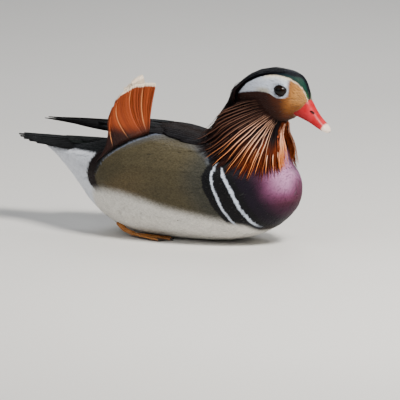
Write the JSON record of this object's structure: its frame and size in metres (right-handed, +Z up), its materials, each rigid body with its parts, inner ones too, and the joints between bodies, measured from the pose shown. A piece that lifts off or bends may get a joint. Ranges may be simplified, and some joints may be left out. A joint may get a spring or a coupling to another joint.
{
  "type": "mandarin duck drake model",
  "caption": "Life-size still model of a drake mandarin duck resting on its belly, with crest, ruff of flat locks, upright sails, folded wings and tail.",
  "frame": {"origin": "on the floor, midway between the bill's tip and the tail's tip and midway between the flanks", "axes": "+X towards the bill, +Y to the bird's left, +Z up"},
  "size_m": [0.3147, 0.1118, 0.1603],
  "materials": {
    "body_feathers": "close small feathers",
    "undertail_feathers": "soft white feathers",
    "neck_feathers": "silky feathers",
    "head_feathers": "short velvety feathers",
    "crest_feathers": "glossy, green and purple sheen",
    "ruff_feathers": "long silky hackles",
    "wing_feathers": "smooth vanes with a blue and green gloss",
    "sail_feathers": "smooth orange vane with a cream edge",
    "tail_feathers": "smooth vanes",
    "bill_horn": "satin horn",
    "eye_gloss": "wet gloss",
    "foot_skin": "scaly skin"
  },
  "bodies": {
    "root": {"torso": "body_feathers", "rump": "undertail_feathers", "neck": "neck_feathers", "head": "head_feathers", "bill_upper": "bill_horn", "bill_lower": "bill_horn", "eye_right": "eye_gloss", "eye_left": "eye_gloss", "crest": "crest_feathers", "ruff_right": "ruff_feathers", "ruff_left": "ruff_feathers", "wing_right": "wing_feathers", "wing_left": "wing_feathers", "sail_right": "sail_feathers", "sail_left": "sail_feathers", "tail": "tail_feathers", "foot_right": "foot_skin", "foot_left": "foot_skin"}
  },
  "joints": []
}
